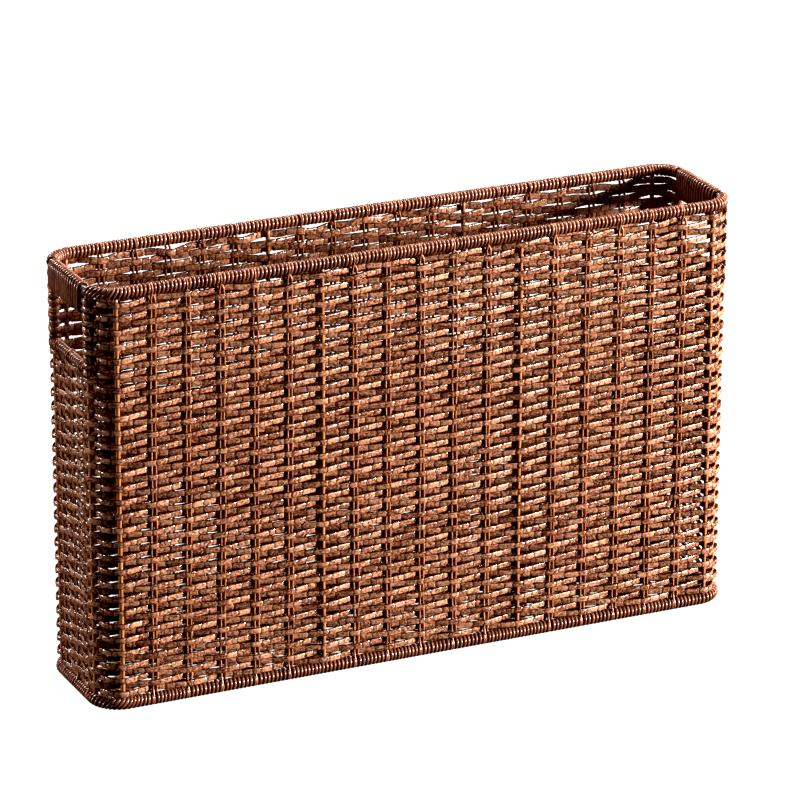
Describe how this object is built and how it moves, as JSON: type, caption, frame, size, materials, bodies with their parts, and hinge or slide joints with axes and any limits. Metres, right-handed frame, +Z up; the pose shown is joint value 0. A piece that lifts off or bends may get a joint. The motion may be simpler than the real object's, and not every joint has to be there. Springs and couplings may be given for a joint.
{
  "type": "magazine basket",
  "caption": "Slim upright magazine basket woven from glossy plastic rattan strands on a wire frame, with wound rims and a hand hole under the rim at each short end.",
  "frame": {"origin": "on the floor under the middle of the basket", "axes": "+X along the length, +Y across the depth from the pictured long face to the far one, +Z up"},
  "size_m": [0.48, 0.1, 0.3],
  "materials": {
    "strand": "glossy orange-brown moulded strand with darker rings and streaks",
    "winding_cord": "glossy red-brown round cord",
    "stake_cord": "satin brown cord",
    "frame_wire": "golden brown coated steel wire"
  },
  "bodies": {
    "root": {"back_upright_1": "frame_wire", "back_upright_2": "frame_wire", "back_upright_3": "frame_wire", "back_upright_4": "frame_wire", "back_weave": "strand", "base_rod_1": "frame_wire", "base_rod_2": "frame_wire", "base_rod_3": "frame_wire", "base_rod_4": "frame_wire", "base_weave": "strand", "bottom_back_rim_winding": "winding_cord", "bottom_front_rim_winding": "winding_cord", "bottom_rim_rod": "frame_wire", "cross_stake_01": "stake_cord", "cross_stake_02": "stake_cord", "cross_stake_03": "stake_cord", "cross_stake_04": "stake_cord", "cross_stake_05": "stake_cord", "cross_stake_06": "stake_cord", "cross_stake_07": "stake_cord", "cross_stake_08": "stake_cord", "cross_stake_09": "stake_cord", "cross_stake_10": "stake_cord", "cross_stake_11": "stake_cord", "cross_stake_12": "stake_cord", "cross_stake_13": "stake_cord", "cross_stake_14": "stake_cord", "cross_stake_15": "stake_cord", "front_upright_1": "frame_wire", "front_upright_2": "frame_wire", "front_upright_3": "frame_wire", "front_upright_4": "frame_wire", "front_weave": "strand", "left_back_end_upright": "frame_wire", "left_end_stake_1": "stake_cord", "left_end_stake_2": "stake_cord", "left_end_stake_3": "stake_cord", "left_end_weave": "strand", "left_front_end_upright": "frame_wire", "left_grip_rod": "frame_wire", "left_handle_winding": "winding_cord", "left_sill_rod": "frame_wire", "left_sill_winding": "winding_cord", "right_back_end_upright": "frame_wire", "right_end_stake_1": "stake_cord", "right_end_stake_2": "stake_cord", "right_end_stake_3": "stake_cord", "right_end_weave": "strand", "right_front_end_upright": "frame_wire", "right_grip_rod": "frame_wire", "right_handle_winding": "winding_cord", "right_sill_rod": "frame_wire", "right_sill_winding": "winding_cord", "top_back_rim_winding": "winding_cord", "top_front_rim_winding": "winding_cord", "top_rim_rod": "frame_wire"}
  },
  "joints": []
}
